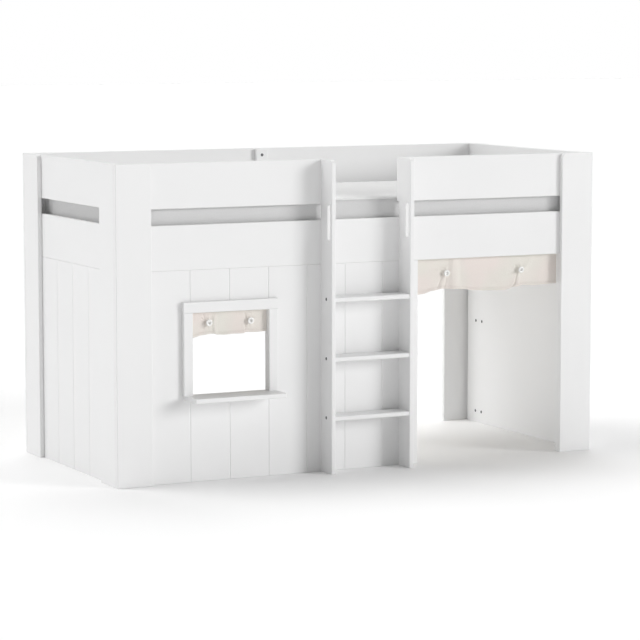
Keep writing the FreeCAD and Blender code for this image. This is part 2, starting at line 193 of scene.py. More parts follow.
class ValanceSettings(bpy.types.PropertyGroup):
    cream: bpy.props.FloatVectorProperty(
        name="Cream", description="The cotton's main colour", subtype="COLOR", default=(0.895, 0.867, 0.799)
    )
    blush: bpy.props.FloatVectorProperty(
        name="Blush",
        description="The cotton's warmer patches",
        subtype="COLOR",
        default=(0.932, 0.851, 0.804),
    )
    cell: bpy.props.FloatProperty(
        name="Cell", description="Spacing of the cloth's mesh", default=0.0016, min=0.001, unit="LENGTH"
    )
    thickness: bpy.props.FloatProperty(
        name="Thickness", description="Thickness of the cotton", default=0.0010, min=0.0002, unit="LENGTH"
    )
    hem: bpy.props.FloatProperty(
        name="Hem", description="Height of the turned hem", default=0.010, min=0.002, unit="LENGTH"
    )
    stitch: bpy.props.FloatProperty(
        name="Stitch", description="Length of one stitch", default=0.0030, min=0.001, unit="LENGTH"
    )


class MattressSettings(bpy.types.PropertyGroup):
    colour: bpy.props.FloatVectorProperty(
        name="Cover", description="Colour of the knitted cover", subtype="COLOR", default=(0.92, 0.92, 0.915)
    )
    # The sides' colour is darker than the top's, a painted shade on the mattress's sides
    side_shade: bpy.props.FloatVectorProperty(
        name="Side shade", description="Colour of the cover's sides", subtype="COLOR", default=(0.80, 0.80, 0.80)
    )
    cell: bpy.props.FloatProperty(
        name="Cell", description="Spacing of the cover's mesh", default=0.022, min=0.005, unit="LENGTH"
    )
    shrink: bpy.props.FloatProperty(
        name="Shrink", description="How much smaller the cover starts", default=0.003, min=0, unit="LENGTH"
    )
    swell: bpy.props.FloatProperty(
        name="Swell",
        description="The most that the filling pushes it out",
        default=0.006,
        min=0,
        unit="LENGTH",
    )
    loft: bpy.props.FloatProperty(
        name="Loft", description="How far the cover's top stands proud", default=0.009, min=0, unit="LENGTH"
    )
    piping: bpy.props.FloatProperty(
        name="Piping", description="Radius of the piping", default=0.0035, min=0.001, unit="LENGTH"
    )


class StageSettings(bpy.types.PropertyGroup):
    floor_colour: bpy.props.FloatVectorProperty(
        name="Floor", description="Colour of the floor", subtype="COLOR", default=(0.985, 0.985, 0.985)
    )
    sky: bpy.props.FloatProperty(
        name="Sky", description="Strength of the even light from all round", default=0.333, min=0
    )
    key: bpy.props.FloatProperty(
        name="Key light", description="Strength of the light from the front right", default=1.41, min=0
    )
    back: bpy.props.FloatProperty(
        name="Back light", description="Strength of the high light from the back right", default=0.90, min=0
    )
    top_left: bpy.props.FloatProperty(
        name="Top left light",
        description="Strength of the high light from the back left",
        default=1.245,
        min=0,
    )
    low_left: bpy.props.FloatProperty(
        name="Low left light", description="Strength of the low light from the back left", default=0.50, min=0
    )
    den: bpy.props.FloatProperty(
        name="Den light", description="Power of the lamp inside the den", default=2.3, min=0, unit="POWER"
    )
    camera_place: bpy.props.FloatVectorProperty(
        name="Camera",
        description="Where the camera stands",
        subtype="TRANSLATION",
        unit="LENGTH",
        default=(-4.82025, -9.67928, 1.74984),
    )
    camera_turn: bpy.props.FloatProperty(
        name="Turn",
        description="Turn of the camera to the right",
        default=math.radians(26.611),
        unit="ROTATION",
    )
    camera_tilt: bpy.props.FloatProperty(
        name="Tilt", description="Tilt of the camera down", default=math.radians(6.367), unit="ROTATION"
    )
    lens: bpy.props.FloatProperty(name="Lens", description="Focal length in mm", default=150.70, min=1)


class RaisedBedSettings(bpy.types.PropertyGroup):
    paint: bpy.props.PointerProperty(type=PaintSettings)
    pine: bpy.props.PointerProperty(type=PineSettings)
    steel: bpy.props.PointerProperty(type=SteelSettings)
    knobs: bpy.props.PointerProperty(type=KnobSettings)
    valances: bpy.props.PointerProperty(type=ValanceSettings)
    mattress: bpy.props.PointerProperty(type=MattressSettings)
    stage: bpy.props.PointerProperty(type=StageSettings)


# Helpers for shader trees
def set_inputs(tree, node, inputs):
    """Sets a shader node's inputs, and links those whose value is another node's output."""
    for name, value in inputs.items():
        if isinstance(value, bpy.types.NodeSocket):
            tree.links.new(value, node.inputs[name])
        else:
            node.inputs[name].default_value = value


def add_node(tree, kind, inputs=(), **options):
    """A new shader node with its options and its inputs set."""
    node = tree.nodes.new(kind)
    for name, value in options.items():
        setattr(node, name, value)
    set_inputs(tree, node, dict(inputs))
    return node


def opaque(colour):
    return (*colour, 1.0)


def darker(colour, share):
    return tuple(channel * (1 - share) for channel in colour)


def new_group(name, inputs):
    """An empty shader node group, and its input and output nodes.

    It takes a Vector and the named inputs with their defaults, and puts out a Height and a Shade.
    """
    group = bpy.data.node_groups.new(name, "ShaderNodeTree")
    group.interface.new_socket("Vector", in_out="INPUT", socket_type="NodeSocketVector")
    for socket, default in inputs.items():
        kind = "NodeSocketFloat" if isinstance(default, float) else "NodeSocketVector"
        group.interface.new_socket(socket, in_out="INPUT", socket_type=kind).default_value = default
    for socket in ("Height", "Shade"):
        group.interface.new_socket(socket, in_out="OUTPUT", socket_type="NodeSocketFloat")
    return group, group.nodes.new("NodeGroupInput"), group.nodes.new("NodeGroupOutput")


def use_group(tree, group, place, inputs):
    """The outputs of a shared effect at a place, with its own values."""
    return add_node(tree, "ShaderNodeGroup", {"Vector": place, **inputs}, node_tree=group).outputs


def new_material(name, roughness, metallic=0.0):
    material = bpy.data.materials.new(name)
    material.use_nodes = True
    tree = material.node_tree
    shader = tree.nodes["Principled BSDF"]
    set_inputs(tree, shader, {"Roughness": roughness, "Metallic": metallic})
    return material, tree, shader


def place_in_object(tree):
    """The surface's place in the object's own metres."""
    return tree.nodes.new("ShaderNodeTexCoord").outputs["Object"]


def noise(tree, place, scale, detail, roughness=0.5):
    """The value of a noise texture at a place."""
    inputs = {"Vector": place, "Scale": scale, "Detail": detail, "Roughness": roughness}
    return add_node(tree, "ShaderNodeTexNoise", inputs).outputs["Fac"]


def mixed(tree, factor, first, second):
    """A value part of the way from one value to another."""
    inputs = {"Factor": factor, "A": first, "B": second}
    return add_node(tree, "ShaderNodeMix", inputs, data_type="FLOAT").outputs["Result"]


def eased(tree, value, low, high):
    """A 0 to 1 value mapped to a narrower range."""
    inputs = {"Value": value, "To Min": low, "To Max": high}
    return add_node(tree, "ShaderNodeMapRange", inputs).outputs["Result"]


def bumped(tree, height, distance):
    """The surface's normal with a bump that is this high at a height of 1."""
    inputs = {"Height": height, "Distance": distance, "Strength": 1.0}
    return add_node(tree, "ShaderNodeBump", inputs).outputs["Normal"]


def tinted(tree, shade, first, second, low=0.35, high=0.65):
    """A colour that drifts between two with a 0 to 1 shade."""
    ramp = add_node(tree, "ShaderNodeValToRGB", {"Fac": shade})
    for element, place, colour in zip(ramp.color_ramp.elements, (low, high), (first, second)):
        element.position = place
        element.color = opaque(colour)
    return ramp.outputs["Color"]


# Effects that several materials share
def streaks_group():
    """Long soft streaks and a fine peel, for brushed paint, sawn wood and plated metal."""
    group, given, out = new_group(
        "Streaks", {"Stretch": (6.0, 140.0, 140.0), "Peel Scale": 900.0, "Peel Share": 0.35}
    )
    place = given.outputs["Vector"]
    stretched = {0: place, 1: given.outputs["Stretch"]}
    along = add_node(group, "ShaderNodeVectorMath", stretched, operation="MULTIPLY").outputs["Vector"]
    streak = noise(group, along, scale=1.0, detail=4.0, roughness=0.6)
    peel = noise(group, place, scale=given.outputs["Peel Scale"], detail=1.0)
    height = mixed(group, given.outputs["Peel Share"], streak, peel)
    set_inputs(group, out, {"Height": height, "Shade": noise(group, place, scale=3.0, detail=2.0)})
    return group


def weave_group():
    """A plain weave of slubby threads that run along two of the object's axes."""
    group, given, out = new_group("Plain weave", {"Threads": 600.0, "Slub": 0.5})
    place = given.outputs["Vector"]
    grown = {"Vector": place, "Scale": given.outputs["Threads"]}
    on_threads = add_node(group, "ShaderNodeVectorMath", grown, operation="SCALE").outputs["Vector"]
    thread = {"Vector": on_threads, "Scale": 1.0, "Distortion": 0.4}
    warp = add_node(group, "ShaderNodeTexWave", thread, bands_direction="X")
    weft = add_node(group, "ShaderNodeTexWave", thread, bands_direction="Z")
    over = add_node(group, "ShaderNodeTexChecker", {"Vector": on_threads, "Scale": 1.0})
    crossing = mixed(group, over.outputs["Fac"], warp.outputs["Fac"], weft.outputs["Fac"])
    slub = noise(group, place, scale=220.0, detail=3.0)
    height = mixed(group, given.outputs["Slub"], crossing, slub)
    set_inputs(group, out, {"Height": height, "Shade": noise(group, place, scale=7.0, detail=1.0)})
    return group


def shared(name, make):
    """A node group that is built once and then found again."""
    return bpy.data.node_groups.get(name) or make()


# Materials
def streaked_material(
    name, streaks, marks, follows, colour, shade, roughness, spread, depth, metallic=0.0, coat=0.0
):
    """A finish whose colour and roughness follow one output of the streaks, and its bump their height.

    The marks are the streaks' own values here. They darken the colour by the shade at most, and the
    roughness goes up and down by the spread.
    """
    material, tree, shader = new_material(name, roughness, metallic)
    film = use_group(tree, streaks, place_in_object(tree), marks)
    finish = {
        "Base Color": tinted(tree, film[follows], darker(colour, shade), colour),
        "Roughness": eased(tree, film[follows], roughness - spread, roughness + spread),
        "Normal": bumped(tree, film["Height"], depth),
        "Coat Weight": coat,
    }
    set_inputs(tree, shader, finish)
    return material


def paint_material(name, settings, streaks, stretch):
    """Satin white paint whose brush marks run along the board."""
    return streaked_material(
        name,
        streaks,
        marks={"Stretch": stretch},
        follows="Shade",
        colour=settings.colour,
        shade=0.012,
        roughness=settings.roughness,
        spread=0.05,
        depth=settings.grain_depth,
    )


def pine_material(settings, streaks):
    """Planed pine with rings along its length."""
    material, tree, shader = new_material("bare_pine", 0.6)
    place = place_in_object(tree)
    fibre = use_group(tree, streaks, place, {"Stretch": (260.0, 9.0, 260.0), "Peel Share": 0.2})
    scale = 2 * math.pi / (WAVE_RATE * settings.ring_width)
    bands = {"Vector": place, "Scale": scale, "Distortion": 3.0, "Detail": 3.0, "Detail Scale": 0.4}
    rings = add_node(tree, "ShaderNodeTexWave", bands, bands_direction="X").outputs["Fac"]
    finish = {
        "Base Color": tinted(tree, rings, settings.light, settings.dark, low=0.3, high=1.0),
        "Roughness": eased(tree, fibre["Shade"], low=0.52, high=0.68),
        "Normal": bumped(tree, fibre["Height"], distance=0.00015),
    }
    set_inputs(tree, shader, finish)
    return material


def steel_material(settings, streaks):
    """Dark plated steel with faint mottled marks."""
    return streaked_material(
        "dark_steel",
        streaks,
        marks={"Stretch": (900.0, 900.0, 900.0), "Peel Scale": 2400.0},
        follows="Height",
        colour=settings.colour,
        shade=0.18,
        roughness=0.365,
        spread=0.085,
        depth=0.00003,
        metallic=1.0,
    )


def knob_material(settings, streaks):
    """Smooth white lacquer on a turned knob."""
    return streaked_material(
        "knob_lacquer",
        streaks,
        marks={"Stretch": (400.0, 60.0, 400.0), "Peel Share": 0.5},
        follows="Height",
        colour=settings.colour,
        shade=0.03,
        roughness=0.3,
        spread=0.06,
        depth=0.00003,
        coat=0.25,
    )


def cloth_material(name, weave, first, second, threads, depth, roughness=0.9, turn=(0, 0, 0)):
    """Woven cloth whose colour drifts between two, with painted shade where the weave sits low. The turn lays
    its threads askew to the axes.
    """
    material, tree, shader = new_material(name, roughness)
    laid = add_node(tree, "ShaderNodeMapping", {"Vector": place_in_object(tree), "Rotation": turn})
    woven = use_group(tree, weave, laid.outputs["Vector"], {"Threads": threads})
    # The colour is multiplied by the weave's height at a factor of 0.12, a painted shade between the threads
    shading = {"Factor": 0.12, "A": tinted(tree, woven["Shade"], first, second), "B": woven["Height"]}
    shaded = add_node(tree, "ShaderNodeMix", shading, data_type="RGBA", blend_type="MULTIPLY")
    finish = {
        "Base Color": shaded.outputs["Result"],
        "Roughness": eased(tree, woven["Height"], roughness - 0.08, roughness + 0.06),
        "Normal": bumped(tree, woven["Height"], depth),
        "Sheen Weight": 0.25,
        "Sheen Roughness": 0.5,
    }
    set_inputs(tree, shader, finish)
    return material


def knit_material(name, weave, colour):
    """Fine knitted cloth with its threads askew, so that they show no bands on a level face."""
    askew = (math.radians(45), 0, math.radians(45))
    shade = darker(colour, 0.015)
    return cloth_material(name, weave, shade, colour, threads=420.0, depth=0.0006, roughness=0.85, turn=askew)


def dress(node_names, material):
    """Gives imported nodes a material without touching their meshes."""
    for name in node_names:
        slots = nodes[name].material_slots
        if not slots:
            raise RuntimeError("node %s has no material slot" % name)
        for slot in slots:
            slot.link = "OBJECT"
            slot.material = material


# Helpers for new pieces
def add_object(name, data):
    """A new object in the scene."""
    made = bpy.data.objects.new(name, data)
    bpy.context.scene.collection.objects.link(made)
    return made


def mesh_piece(name, points, faces, material):
    """A new smooth mesh object at the frame's origin that rides on the bed."""
    mesh = bpy.data.meshes.new(name)
    mesh.from_pydata([tuple(point) for point in points], [], faces)
    mesh.validate()
    piece = add_object(name, mesh)
    mesh.materials.append(material)
    for polygon in mesh.polygons:
        polygon.use_smooth = True
    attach(piece, BODY)
    return piece


def grid_piece(name, rows, columns, place, material):
    """A grid of quads whose points a function gives for each row and column."""
    points = [place(row, column) for row in range(rows + 1) for column in range(columns + 1)]
    faces = []
    for row in range(rows):
        for column in range(columns):
            first = row * (columns + 1) + column
            faces.append((first, first + columns + 1, first + columns + 2, first + 1))
    return mesh_piece(name, points, faces, material)


def islands(node):
    """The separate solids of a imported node, each as the list of its points."""
    mesh = nodes[node].data
    shape = bmesh.new()
    shape.from_mesh(mesh)
    bmesh.ops.remove_doubles(shape, verts=shape.verts, dist=SAME_PLACE)
    seen = set()
    found = []
    for first in shape.verts:
        if first.index in seen:
            continue
        seen.add(first.index)
        stack = [first]
        points = []
        while stack:
            vertex = stack.pop()
            points.append(vertex.co.copy())
            for edge in vertex.link_edges:
                other = edge.other_vert(vertex)
                if other.index not in seen:
                    seen.add(other.index)
                    stack.append(other)
        found.append(points)
    shape.free()
    return found


def box_of(points):
    low = Vector([min(point[axis] for point in points) for axis in range(3)])
    high = Vector([max(point[axis] for point in points) for axis in range(3)])
    return low, high


def turned_points(profile, sides, place, direction):
    """Rings of points turned round an axis. A profile entry is (radius, height, corners)."""
    turn = ALONG_Z.rotation_difference(direction).to_matrix()
    points = []
    for radius, height, corners in profile:
        for side in range(sides):
            angle = 2 * math.pi * side / sides
            reach = radius
            if corners:
                half = math.pi / corners
                reach = radius * math.cos(half) / math.cos((angle + half) % (2 * half) - half)
            points.append(turn @ Vector((reach * math.cos(angle), reach * math.sin(angle), height)) + place)
    return points


def turned_faces(rings, sides, first=0):
    """Quads between the rings, and a face over each end."""
    faces = []
    for ring in range(rings - 1):
        low = first + ring * sides
        high = low + sides
        for side in range(sides):
            after = (side + 1) % sides
            faces.append((low + side, low + after, high + after, high + side))
    faces.append(tuple(first + side for side in reversed(range(sides))))
    last = first + (rings - 1) * sides
    faces.append(tuple(last + side for side in range(sides)))
    return faces


def turned_pieces(name, profile, sides, places, material):
    """One mesh of like turned pieces, each at a place and along a direction."""
    points = []
    faces = []
    for place, direction in places:
        faces += turned_faces(len(profile), sides, len(points))
        points += turned_points(profile, sides, place, direction)
    return mesh_piece(name, points, faces, material)


def sharp_corners(piece, angle):
    """Keeps a turned piece's rims crisp where two faces meet at the angle or more."""
    mesh = piece.data
    shape = bmesh.new()
    shape.from_mesh(mesh)
    for edge in shape.edges:
        edge.smooth = len(edge.link_faces) == 2 and edge.calc_face_angle(0.0) < angle
    shape.to_mesh(mesh)
    shape.free()


def fastener_axis(points):
    """One countersunk fastener's head centre, outward direction, length, head radius and shank radius."""
    low, high = box_of(points)
    size = high - low
    axis = max(range(3), key=lambda number: size[number])
    across = (axis + 1) % 3
    middle = (low + high) / 2

    def widest(near):
        level = (point for point in points if abs(point[axis] - near) < SAME_LEVEL)
        return max(abs(point[across] - middle[across]) for point in level)

    low_radius, high_radius = widest(low[axis]), widest(high[axis])
    head_at_low = low_radius > high_radius
    centre = middle.copy()
    centre[axis] = low[axis] if head_at_low else high[axis]
    outward = Vector((0, 0, 0))
    outward[axis] = -1 if head_at_low else 1
    return centre, outward, size[axis], max(low_radius, high_radius), min(low_radius, high_radius)


def bolt_profile(length, head, shank, rise):
    """A bolt's outline from its tip, over its round head, to the bottom of its hexagon socket."""
    socket = head * 0.45
    return [
        (shank * 0.6, -length, 0),
        (shank, -length + shank * 0.4, 0),
        (shank, -head * 0.6, 0),
        (head, -rise * 0.2, 0),
        (head, rise * 0.4, 0),
        (head * 0.9, rise, 0),
        (socket * 1.12, rise, 0),
        (socket, rise * 0.8, SOCKET_SIDES),
        (socket * 0.96, -head * 0.35, SOCKET_SIDES),
    ]


def bolts_for(node, settings, material):
    """Round-headed bolts with a socket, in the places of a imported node's fasteners, which are all alike."""
    fasteners = [fastener_axis(points) for points in islands(node)]
    places = [(centre, outward) for centre, outward, *sizes in fasteners]
    length, head, shank = fasteners[-1][2:]
    profile = bolt_profile(length, head + settings.head_lip, shank, settings.head_rise)
    piece = turned_pieces(node + "_round", profile, settings.sides, places, material)
    sharp_corners(piece, CRISP_ANGLE)
    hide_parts(node)


def knob_profile(radius, tall):
    """A knob's outline from its foot, over its round rim, down into its hollow."""
    rim = []
    for step in range(KNOB_RIM_STEPS + 1):
        angle = math.pi * step / KNOB_RIM_STEPS
        rim.append((1 - KNOB_RIM * (1 - math.cos(angle)), 1 - KNOB_RIM_RISE * (1 - math.sin(angle))))
    return [(radius * across, tall * up, 0) for across, up in KNOB_SIDE + rim + KNOB_HOLLOW]


# Cloth
def smooth_step(value):
    value = min(max(value, 0.0), 1.0)
    return value * value * (3 - 2 * value)


def bell(distance, width):
    return math.exp(-((distance / width) ** 2))


def along_table(table, share):
    """A value between the entries of a table of (share, value)."""
    for (low, first), (high, second) in zip(table, table[1:]):
        if share <= high:
            return first + (second - first) * smooth_step((share - low) / (high - low))
    return table[-1][1]


def from_line(place, first, second):
    """The distance from a place on the cloth to a straight line between two others."""
    run_x, run_z = second[0] - first[0], second[1] - first[1]
    share = ((place[0] - first[0]) * run_x + (place[1] - first[1]) * run_z) / (run_x**2 + run_z**2)
    share = min(max(share, 0.0), 1.0)
    return math.hypot(place[0] - first[0] - run_x * share, place[1] - first[1] - run_z * share)


def pleat(distance, width):
    """A soft fold with a short left side and a long slope to its right."""
    if distance < 0:
        return smooth_step(1 + distance / (width * PLEAT_SHORT_SIDE))
    return smooth_step(1 - distance / width)


class Valance:
    """A short cotton curtain between two corners, as a surface of (across, down) in metres.

    The drops are (share of the width, extra length). A pleat is (share of the width, width, rise).
    A crease is (knob, start, end, width, rise), with its ends and width in radii of that knob.
    """

    def __init__(self, node, settings, drops, pleats, creases):
        self.low, self.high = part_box(node)
        self.width = self.high.x - self.low.x
        self.height = self.high.z - self.low.z
        self.hem = settings.hem
        self.drops = drops
        self.pleats = pleats
        self.knobs = []
        for points in islands(node + "_knobs"):
            low, high = box_of(points)
            middle = (low + high) / 2
            self.knobs.append((middle.x - self.low.x, self.high.z - middle.z, (high.x - low.x) / 2))
        self.knobs.sort()
        self.creases = []
        for number, start, end, width, rise in creases:
            x, z, radius = self.knobs[number]
            ends = [(x + place[0] * radius, z + place[1] * radius) for place in (start, end)]
            self.creases.append((*ends, width * radius, rise))

    def length(self, across):
        """How far the cloth hangs down at a place across it."""
        return self.height + along_table(self.drops, across / self.width)

    def forward(self, across, down):
        """How far the cloth comes forward of its hanging line."""
        share = down / self.height
        out = 0.0
        for place, width, rise in self.pleats:
            out += rise * pleat(across - place * self.width, width) * smooth_step(share / PLEAT_OPENING)
        for x, z, radius in self.knobs:
            dx = across - x
            dz = down - z
            away = math.hypot(dx, dz)
            out += KNOB_PULL * bell(away, radius * KNOB_PULL_REACH)
            ray = math.cos(PUCKER_RAYS * math.atan2(dz, dx) + PUCKER_TURN)
            out += PUCKER_RISE * ray * bell(away - radius * PUCKER_RING, radius * PUCKER_WIDTH)
        for start, end, width, rise in self.creases:
            out += rise * bell(from_line((across, down), start, end), width)
        ripple = sum(
            part * math.sin(across * rate + start + share * lean) for part, rate, start, lean in RIPPLES
        )
        return out + RIPPLE_RISE * ripple * smooth_step(share)

    def point(self, across, down):
        """A point of the cloth in the frame."""
        shift = 0.0
        for x, z, radius in self.knobs:
            dx = across - x
            shift -= GATHER * dx * bell(math.hypot(dx, down - z), radius * GATHER_REACH)
        side = min(across, self.width - across)
        curl = EDGE_CURL * bell(side, EDGE_CURL_WIDTH)
        y = self.high.y - HANGING_GAP - self.forward(across, down) - curl
        return Vector((self.low.x + across + shift, y, self.high.z - down))

    def sheet(self, name, cell, material):
        """The cloth as one grid of quads."""
        columns = round(self.width / cell)
        rows = round(self.height / cell)

        def place(row, column):
            across = self.width * column / columns
            return self.point(across, self.length(across) * row / rows)

        return grid_piece(name, rows, columns, place, material)

    def hem_band(self, name, cell, material, thickness):
        """The turned hem, a second layer along the lower edge on the front of the cloth."""
        columns = round(self.width / cell)

        def place(row, column):
            across = self.width * column / columns
            down = self.length(across) - self.hem * (1 - row / HEM_ROWS)
            bulge = thickness * (HEM_LIFT + HEM_CROWN * math.sin(math.pi * row / HEM_ROWS))
            return self.point(across, down) - ALONG_Y * bulge

        return grid_piece(name, HEM_ROWS, columns, place, material)

    def stitches(self, name, stitch, lift, material):
        """A row of small stitches along the top of the hem."""
        radius = stitch * STITCH_RADIUS
        pitch = stitch * STITCH_PITCH
        points = []
        faces = []
        across = pitch
        while across < self.width - pitch:
            ends = []
            for end in (across - stitch / 2, across + stitch / 2):
                down = self.length(end) - self.hem * STITCH_HEIGHT
                ends.append(self.point(end, down) - ALONG_Y * lift)
            along = ends[1] - ends[0]
            shape = [(STITCH_TIP, 0), (1, STITCH_END), (1, 1 - STITCH_END), (STITCH_TIP, 1)]
            profile = [(radius * wide, along.length * up, 0) for wide, up in shape]
            faces += turned_faces(len(profile), STITCH_SIDES, len(points))
            points += turned_points(profile, STITCH_SIDES, ends[0], along.normalized())
            across += pitch
        return mesh_piece(name, points, faces, material)


def thicken(piece, thickness):
    """Real thickness for a sheet, kept as a modifier."""
    solid = piece.modifiers.new("thickness", "SOLIDIFY")
    solid.thickness = thickness
    solid.offset = 0
    solid.use_even_offset = True


def make_valance(node, settings, material, drops, pleats, creases):
    """One valance with its hem and stitches, in the place of its packed slab."""
    shape = Valance(node, settings, drops, pleats, creases)
    thickness = settings.thickness
    cloth = shape.sheet(node + "_cloth", settings.cell, material)
    thicken(cloth, thickness)
    band = shape.hem_band(node + "_hem", settings.cell, material, thickness)
    thicken(band, thickness * HEM_THICKNESS)
    thread = shape.stitches(node + "_stitches", settings.stitch, thickness * STITCH_LIFT, material)
    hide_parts(node)


# Mattress
def round_square(first, second, limit):
    """Moves a point of a square's ring to the circle's ring of the same size."""
    largest = max(first, second)
    long = math.hypot(first, second)
    if long == 0:
        return first, second
    share = min(largest, limit) / long
    return first * share, second * share


def rounded_box_point(point, half, corner, rim):
    """Moves a point on a box's surface to the surface of the same box with round corners and rims."""
    signs = [1 if value >= 0 else -1 for value in point]
    x, y, z = (abs(value) for value in point)
    outer = max(x - (half.x - corner), y - (half.y - corner), 0.0)
    inner_x = min(x, half.x - corner)
    inner_y = min(y, half.y - corner)
    dx, dy = round_square(x - inner_x, y - inner_y, corner)
    reach = math.hypot(dx, dy)
    level = z - (half.z - rim)
    edge = outer - (corner - rim)
    if level > 0 and edge > 0 and reach > 0:
        new_edge, new_level = round_square(edge, level, rim)
        shrink = (corner - rim + new_edge) / (corner - rim + edge)
        dx, dy = dx * shrink, dy * shrink
        z = half.z - rim + new_level
    return Vector((signs[0] * (inner_x + dx), signs[1] * (inner_y + dy), signs[2] * z))


def mattress_body(name, low, high, cell, corner, rim, material):
    """A closed rounded box of quads of about one size."""
    middle = (low + high) / 2
    half = (high - low) / 2
    cuts = [max(2, round(2 * half[axis] / cell)) for axis in range(3)]
    index = {}
    points = []
    faces = []

    def number(place):
        if place not in index:
            index[place] = len(points)
            flat = Vector([-half[axis] + 2 * half[axis] * place[axis] / cuts[axis] for axis in range(3)])
            points.append(rounded_box_point(flat, half, corner, rim) + middle)
        return index[place]

    for axis in range(3):
        first, second = (axis + 1) % 3, (axis + 2) % 3
        for side in (0, cuts[axis]):
            for i in range(cuts[first]):
                for j in range(cuts[second]):
                    quad = []
                    for di, dj in ((0, 0), (1, 0), (1, 1), (0, 1)):
                        place = [0, 0, 0]
                        place[axis] = side
                        place[first] = i + di
                        place[second] = j + dj
                        quad.append(number(tuple(place)))
                    faces.append(tuple(quad if side else reversed(quad)))
    return mesh_piece(name, points, faces, material)


def evened(mesh, moves, passes):
    """Moves averaged with those of the points beside them, so that no ripple is left."""
    beside = [[] for vertex in mesh.vertices]
    for edge in mesh.edges:
        first, second = edge.vertices
        beside[first].append(second)
        beside[second].append(first)
    for number in range(passes):
        averages = [sum((moves[other] for other in near), Vector()) / len(near) for near in beside]
        moves = [(move + average) / 2 for move, average in zip(moves, averages)]
    return moves


def swell(piece, is_seam, cap):
    """Lets a filling press the cover out between its seams by the cap at most, then keeps the result."""
    mesh = piece.data
    start = [vertex.co.copy() for vertex in mesh.vertices]
    seam = piece.vertex_groups.new(name="seam")
    seam.add([vertex.index for vertex in mesh.vertices if is_seam(vertex.co)], 1.0, "REPLACE")
    cloth = piece.modifiers.new("filling", "CLOTH")
    cloth.settings.use_pressure = True
    cloth.settings.uniform_pressure_force = FILLING_PRESSURE
    cloth.settings.vertex_group_mass = "seam"
    cloth.settings.effector_weights.gravity = 0
    cloth.settings.quality = FILLING_QUALITY
    scene = bpy.context.scene
    for number in range(1, FILLING_FRAMES + 1):
        scene.frame_set(number)
    evaluated = piece.evaluated_get(bpy.context.evaluated_depsgraph_get())
    settled = [vertex.co.copy() for vertex in evaluated.data.vertices]
    piece.modifiers.remove(cloth)
    scene.frame_set(1)
    moves = evened(mesh, [after - before for before, after in zip(start, settled)], EVENING_PASSES)
    most = max(move.length for move in moves)
    scale = cap / most if most > SAME_PLACE else 0.0
    for vertex, move in zip(mesh.vertices, moves):
        vertex.co += move * scale
    mesh.update()


def closed_tube(name, line, radius, sides, material):
    """A tube round a closed line of points that lie level."""
    points = []
    faces = []
    count = len(line)
    for number, place in enumerate(line):
        ahead = (line[(number + 1) % count] - line[number - 1]).normalized()
        outward = ahead.cross(ALONG_Z).normalized()
        for side in range(sides):
            angle = 2 * math.pi * side / sides
            points.append(place + (outward * math.cos(angle) + ALONG_Z * math.sin(angle)) * radius)
    for number in range(count):
        low = number * sides
        high = (number + 1) % count * sides
        for side in range(sides):
            after = (side + 1) % sides
            faces.append((low + side, high + side, high + after, low + after))
    return mesh_piece(name, points, faces, material)


def rounded_rectangle(low, high, corner, height):
    """A closed level line of points round a rectangle with round corners."""
    line = []
    centres = (
        (high.x - corner, high.y - corner),
        (low.x + corner, high.y - corner),
        (low.x + corner, low.y + corner),
        (high.x - corner, low.y + corner),
    )
    for quarter, (x, y) in enumerate(centres):
        for step in range(CORNER_STEPS + 1):
            angle = math.pi / 2 * (quarter + step / CORNER_STEPS)
            line.append(Vector((x + corner * math.cos(angle), y + corner * math.sin(angle), height)))
    return line


def cover_box(settings):
    """The lowest and highest corners of the mattress's cover before its filling presses it out."""
    low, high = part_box("mattress")
    inset = Vector((settings.shrink, settings.shrink, settings.shrink))
    return low + inset - ALONG_Z * settings.shrink, high - inset + ALONG_Z * settings.loft


def make_cover(settings, low, high, corner, side_shade_top, knit, side_shade):
    """The mattress's filled cover, with its sides up to a height in a darker copy of the knit, a painted
    shade.
    """
    rim = MATTRESS_RIM
    body = mattress_body("mattress_body", low, high, settings.cell, corner, rim, knit)
    body.data.materials.append(side_shade)
    for polygon in body.data.polygons:
        polygon.material_index = 0 if polygon.center.z > side_shade_top else 1

    def is_seam(point):
        edge = min(point.x - low.x, high.x - point.x, point.y - low.y, high.y - point.y)
        beside_piping = point.z > high.z - rim * SEAM_HOLD or point.z < low.z + rim * SEAM_HOLD
        return (edge < rim and beside_piping) or point.z < low.z + SAME_LEVEL

    swell(body, is_seam, settings.swell)
    smooth = body.modifiers.new("soft", "SUBSURF")
    smooth.levels = 1
    smooth.render_levels = 1
    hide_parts("mattress")


def make_piping(name, settings, low, high, corner, height, knit):
    """A row of piping round the mattress's cover at a height."""
    line = rounded_rectangle(low, high, corner, height)
    tube = closed_tube(name, line, settings.piping, PIPING_SIDES, knit)


# Stage
def floor_material(settings):
    """A plain pale floor that reads as white where nothing shades it."""
    material, tree, shader = new_material("studio_floor", 0.9)
    set_inputs(tree, shader, {"Base Color": opaque(settings.floor_colour), "Specular IOR Level": 0.0})
    return material


def make_world(settings):
    """Even light from all round, and a white background where it is looked at."""
    world = bpy.data.worlds.new("studio")
    bpy.context.scene.world = world
    world.use_nodes = True
    tree = world.node_tree
    rays = tree.nodes.new("ShaderNodeLightPath").outputs
    looks = {0: rays["Is Camera Ray"], 1: rays["Is Transmission Ray"]}
    seen = add_node(tree, "ShaderNodeMath", looks, operation="MAXIMUM").outputs["Value"]
    strength = eased(tree, seen, settings.sky, 1.0)
    set_inputs(tree, tree.nodes["Background"], {"Color": opaque((1.0, 1.0, 1.0)), "Strength": strength})


def add_sun(name, strength, towards, softness):
    """A soft even light that comes from a direction."""
    light = bpy.data.lights.new(name, "SUN")
    light.energy = strength
    light.angle = softness
    lamp = add_object(name, light)
    lamp.rotation_mode = "QUATERNION"
    lamp.rotation_quaternion = towards.to_track_quat("Z", "Y")
    lamp.location = towards * SUN_DISTANCE


def from_side(turn, rise):
    """A direction by its turn from the front towards the right, and its rise, in degrees."""
    turn, rise = math.radians(turn), math.radians(rise)
    return Vector((math.sin(turn) * math.cos(rise), -math.cos(turn) * math.cos(rise), math.sin(rise)))


